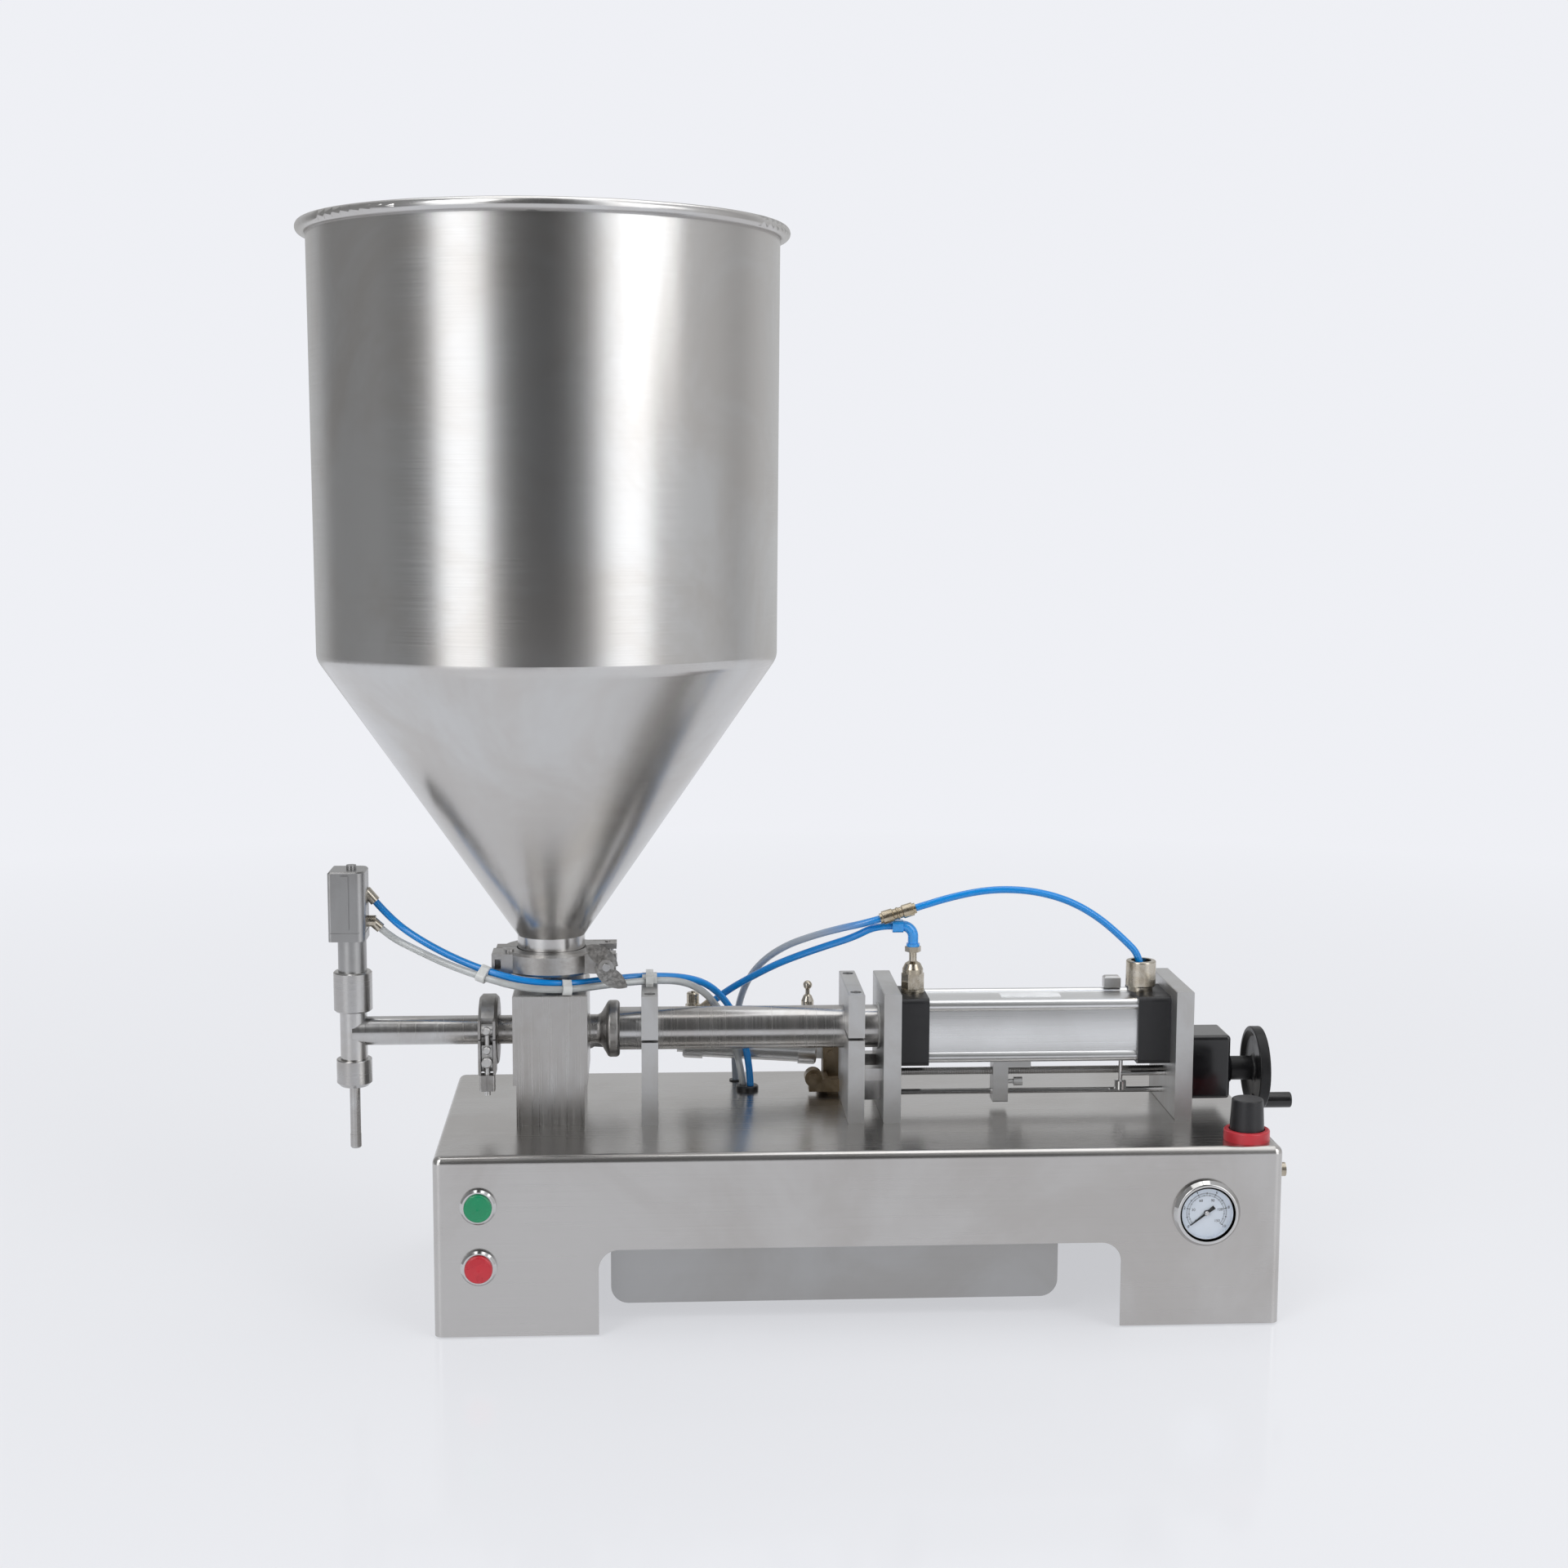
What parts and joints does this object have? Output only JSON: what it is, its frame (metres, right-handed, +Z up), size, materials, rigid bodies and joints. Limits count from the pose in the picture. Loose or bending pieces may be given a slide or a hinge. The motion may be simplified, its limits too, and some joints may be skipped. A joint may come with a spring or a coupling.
{
  "type": "piston paste filling machine",
  "caption": "Bench piston filler for paste: funnel hopper over a rotary valve, metering cylinder with air drive, dosing nozzle, screw stroke adjuster, sheet base.",
  "frame": {"origin": "on the bench, under the middle of the machine's overall length and width", "axes": "+Z up, -Y towards the operator, +X along the metering cylinder towards the handwheel"},
  "size_m": [0.8122, 0.387, 0.8603],
  "materials": {
    "actuator_housing": "satin anodised",
    "air_manifold": "satin",
    "air_ports": "nickel plated",
    "base_cover": "satin brushed sheet",
    "brass_union": "turned",
    "button_bodies": "polished bezels",
    "counter_box": "gloss",
    "crank_grip": "gloss",
    "cylinder_barrel": "satin anodised",
    "cylinder_caps": "matt black",
    "elbow_fitting": "gloss",
    "end_plates": "satin",
    "feet": "matt",
    "gauge_case": "polished bezel",
    "gauge_glass": "clear",
    "gauge_needle": "matt",
    "guide_rods": "ground",
    "handwheel": "gloss",
    "hopper": "brushed round",
    "hopper_bolt": "turned",
    "hopper_clamp": "cast, blasted",
    "hopper_wing_nut": "cast",
    "hose_actuator": "gloss",
    "hose_arc": "gloss",
    "hose_clear": "clear",
    "hose_elbow": "gloss",
    "hose_ties": "translucent",
    "hose_union": "gloss",
    "inlet_ring": "knurled",
    "leadscrew": "turned",
    "material_tube": "polished",
    "nozzle_needle": "ground",
    "nozzle_pipe": "polished",
    "nozzle_tip": "polished",
    "outlet_bolt": "turned",
    "outlet_clamp": "cast, blasted",
    "outlet_wing_nut": "cast",
    "piston_rod": "polished",
    "plate_spacers": "turned",
    "regulator_body": "satin",
    "regulator_knob": "satin",
    "regulator_nut": "gloss",
    "regulator_stem": "matt",
    "seals": "satin",
    "sensor": "matt",
    "slide_block": "satin",
    "speed_knob": "knurled",
    "split_plates": "satin",
    "start_button": "gloss",
    "stop_button": "gloss",
    "swing_cylinder": "satin",
    "swing_fittings": "nickel plated",
    "swing_rod": "polished",
    "tail_bracket": "bronze",
    "union_nuts": "machined",
    "valve_body": "machined",
    "valve_cover": "machined",
    "valve_panel": "satin sheet",
    "valve_rotor": "ground"
  },
  "bodies": {
    "frame": {"actuator_housing": "actuator_housing", "air_manifold": "air_manifold", "air_ports": "air_ports", "base_cover": "base_cover", "brass_union": "brass_union", "button_bodies": "button_bodies", "counter_box": "counter_box", "cylinder_barrel": "cylinder_barrel", "cylinder_caps": "cylinder_caps", "elbow_fitting": "elbow_fitting", "end_plates": "end_plates", "feet": "feet", "gauge_case": "gauge_case", "gauge_glass": "gauge_glass", "guide_rods": "guide_rods", "hopper": "hopper", "hopper_clamp": "hopper_clamp", "hose_actuator": "hose_actuator", "hose_arc": "hose_arc", "hose_clear": "hose_clear", "hose_elbow": "hose_elbow", "hose_ties": "hose_ties", "hose_union": "hose_union", "inlet_ring": "inlet_ring", "material_tube": "material_tube", "nozzle_pipe": "nozzle_pipe", "nozzle_tip": "nozzle_tip", "outlet_clamp": "outlet_clamp", "plate_spacers": "plate_spacers", "regulator_body": "regulator_body", "regulator_nut": "regulator_nut", "seals": "seals", "sensor": "sensor", "split_plates": "split_plates", "tail_bracket": "tail_bracket", "union_nuts": "union_nuts", "valve_body": "valve_body", "valve_cover": "valve_cover", "valve_panel": "valve_panel"},
    "start_button": {"start_button": "start_button"},
    "stop_button": {"stop_button": "stop_button"},
    "gauge_needle": {"gauge_needle": "gauge_needle"},
    "regulator_stem": {"regulator_stem": "regulator_stem"},
    "regulator_knob": {"regulator_knob": "regulator_knob"},
    "adjuster": {"leadscrew": "leadscrew", "handwheel": "handwheel"},
    "slide_block": {"slide_block": "slide_block"},
    "crank_grip": {"crank_grip": "crank_grip"},
    "metering_rod": {"piston_rod": "piston_rod"},
    "nozzle_needle": {"nozzle_needle": "nozzle_needle"},
    "valve_rotor": {"valve_rotor": "valve_rotor"},
    "swing_body": {"swing_cylinder": "swing_cylinder", "swing_fittings": "swing_fittings"},
    "swing_rod": {"swing_rod": "swing_rod"},
    "speed_knob": {"speed_knob": "speed_knob"},
    "hopper_bolt": {"hopper_bolt": "hopper_bolt"},
    "hopper_wing_nut": {"hopper_wing_nut": "hopper_wing_nut"},
    "outlet_bolt": {"outlet_bolt": "outlet_bolt"},
    "outlet_wing_nut": {"outlet_wing_nut": "outlet_wing_nut"}
  },
  "joints": [
    {"name": "start_press", "type": "slide", "parent": "frame", "child": "start_button", "axis": [0, 1, 0], "range_m": [0, 0.003], "stiffness_N_per_m": 300},
    {"name": "stop_press", "type": "slide", "parent": "frame", "child": "stop_button", "axis": [0, 1, 0], "range_m": [0, 0.003], "stiffness_N_per_m": 300},
    {"name": "gauge_sweep", "type": "hinge", "parent": "frame", "child": "gauge_needle", "pos_m": [0.3041, -0.1316, 0.093], "axis": [0, 1, 0], "range_deg": [0, 256], "stiffness_Nm_per_rad": 0.001},
    {"name": "regulator_turn", "type": "hinge", "parent": "frame", "child": "regulator_stem", "pos_m": [0.341, -0.106, 0.145], "axis": [0, 0, 1], "range_deg": [-720, 1080]},
    {"name": "regulator_lift", "type": "slide", "parent": "regulator_stem", "child": "regulator_knob", "axis": [0, 0, 1], "range_m": [0, 0.004]},
    {"name": "stroke_screw", "type": "hinge", "parent": "frame", "child": "adjuster", "pos_m": [0.1935, 0, 0.1758], "axis": [1, 0, 0], "range_deg": [-2475, 2475]},
    {"name": "stroke_stop", "type": "slide", "parent": "frame", "child": "slide_block", "axis": [1, 0, 0], "range_m": [-0.055, 0.055]},
    {"name": "grip_spin", "type": "hinge", "parent": "adjuster", "child": "crank_grip", "pos_m": [0.3931, 0, 0.1478], "axis": [1, 0, 0], "continuous": true},
    {"name": "metering_stroke", "type": "slide", "parent": "frame", "child": "metering_rod", "axis": [1, 0, 0], "range_m": [0, 0.15]},
    {"name": "needle_lift", "type": "slide", "parent": "frame", "child": "nozzle_needle", "axis": [0, 0, 1], "range_m": [0, 0.008]},
    {"name": "valve_turn", "type": "hinge", "parent": "frame", "child": "valve_rotor", "pos_m": [-0.2125, 0, 0.2148], "axis": [0, 1, 0], "range_deg": [0, 90]},
    {"name": "swing_tilt", "type": "hinge", "parent": "frame", "child": "swing_body", "pos_m": [0.0235, 0.08, 0.1744], "axis": [0, 1, 0], "range_deg": [-0.756, 0]},
    {"name": "swing_stroke", "type": "slide", "parent": "swing_body", "child": "swing_rod", "axis": [-0.9979, 0, 0.0646], "range_m": [0, 0.05365]},
    {"name": "speed_set", "type": "hinge", "parent": "swing_body", "child": "speed_knob", "pos_m": [-0.09525, 0.08, 0.2], "axis": [0, 0, 1], "range_deg": [0, 2880]},
    {"name": "hopper_bolt_swing", "type": "hinge", "parent": "frame", "child": "hopper_bolt", "pos_m": [-0.167, 0.024, 0.275], "axis": [0, 0, 1], "range_deg": [0, 38]},
    {"name": "hopper_nut_turn", "type": "hinge", "parent": "hopper_bolt", "child": "hopper_wing_nut", "pos_m": [-0.167, -0.036, 0.275], "axis": [0, 1, 0], "continuous": true},
    {"name": "outlet_bolt_swing", "type": "hinge", "parent": "frame", "child": "outlet_bolt", "pos_m": [-0.2636, -0.0315, 0.222], "axis": [-1, 0, 0], "range_deg": [0, 75]},
    {"name": "outlet_nut_turn", "type": "hinge", "parent": "outlet_bolt", "child": "outlet_wing_nut", "pos_m": [-0.2636, -0.0315, 0.19], "axis": [0, 0, 1], "continuous": true}
  ],
  "couplings": [
    {"joint": "stroke_stop", "follows": "stroke_screw", "m_per_rad": 0.0012732},
    {"joint": "swing_tilt", "follows": "valve_turn", "ratio": -0.0084},
    {"joint": "swing_stroke", "follows": "valve_turn", "m_per_rad": 0.034156}
  ]
}
